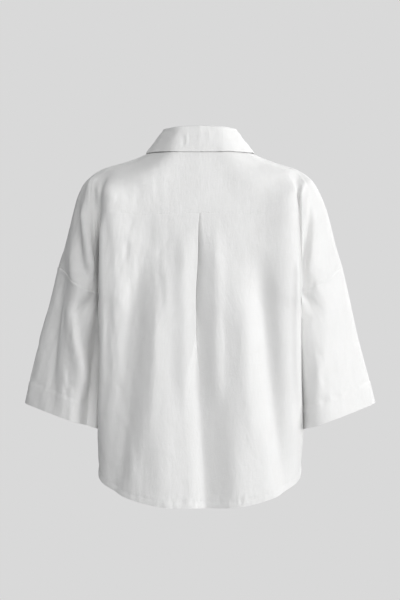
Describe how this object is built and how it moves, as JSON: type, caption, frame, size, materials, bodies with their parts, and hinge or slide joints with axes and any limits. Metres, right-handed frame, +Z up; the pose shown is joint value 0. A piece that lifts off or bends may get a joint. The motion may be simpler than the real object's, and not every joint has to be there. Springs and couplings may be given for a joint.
{
  "type": "cropped blouse",
  "caption": "Cropped, boxy linen blouse with a turn-down collar, drop shoulders, wide elbow-length sleeves, a yoke, an inverted back pleat and a curved shirt-tail hem.",
  "frame": {"origin": "centre of the neck opening, at the height of the side neck points", "axes": "+Z up, the front faces -Y, the back faces +Y, the wearer's left is +X"},
  "size_m": [0.5758, 0.2541, 0.6151],
  "materials": {
    "linen": "plain-woven white linen, slubbed, softly crumpled, matt",
    "button": "off-white shell-like button, satin"
  },
  "bodies": {
    "root": {"back": "linen", "yoke": "linen", "front_left": "linen", "front_right": "linen", "sleeve_left": "linen", "sleeve_right": "linen", "collar": "linen", "button_1": "button", "button_2": "button", "button_3": "button", "button_4": "button", "button_5": "button"}
  },
  "joints": []
}
